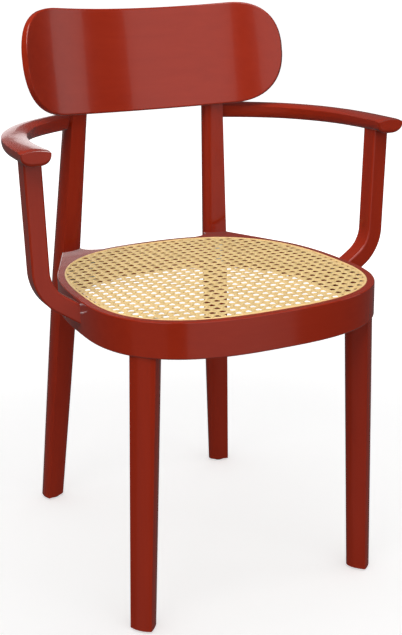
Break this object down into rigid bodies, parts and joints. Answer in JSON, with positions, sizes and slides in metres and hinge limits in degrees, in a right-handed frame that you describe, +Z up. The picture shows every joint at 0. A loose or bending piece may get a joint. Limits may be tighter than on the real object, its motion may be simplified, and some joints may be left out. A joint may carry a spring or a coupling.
{
  "type": "armchair",
  "caption": "Red lacquered bentwood armchair with a closed seat ring, woven cane seat, curved back panel and bent armrests.",
  "frame": {"origin": "on the floor at the middle of the bounding box's base, in the plane of symmetry", "axes": "+Z up, the sitter looks towards -Y, +X to the right as the chair is seen from the front"},
  "size_m": [0.578, 0.5444, 0.8351],
  "materials": {
    "lacquer": "gloss",
    "cane": "satin",
    "steel": "satin",
    "beech": "matte",
    "glide": "matte"
  },
  "bodies": {
    "root": {"seat_ring": "lacquer", "cane_panel": "cane", "cane_edge": "cane", "cane_spline": "cane", "front_leg_left": "lacquer", "front_leg_right": "lacquer", "rear_leg_left": "lacquer", "rear_leg_right": "lacquer", "back_panel": "lacquer", "armrest_left": "lacquer", "armrest_right": "lacquer", "arm_post_left": "lacquer", "arm_post_right": "lacquer", "front_leg_screws": "steel", "rear_leg_bolts": "steel", "rear_leg_washers": "steel", "rear_leg_inserts": "steel", "back_screws": "steel", "post_screws": "steel", "arm_post_dowels": "beech", "arm_leg_dowels": "beech", "leg_glides": "glide"}
  },
  "joints": []
}
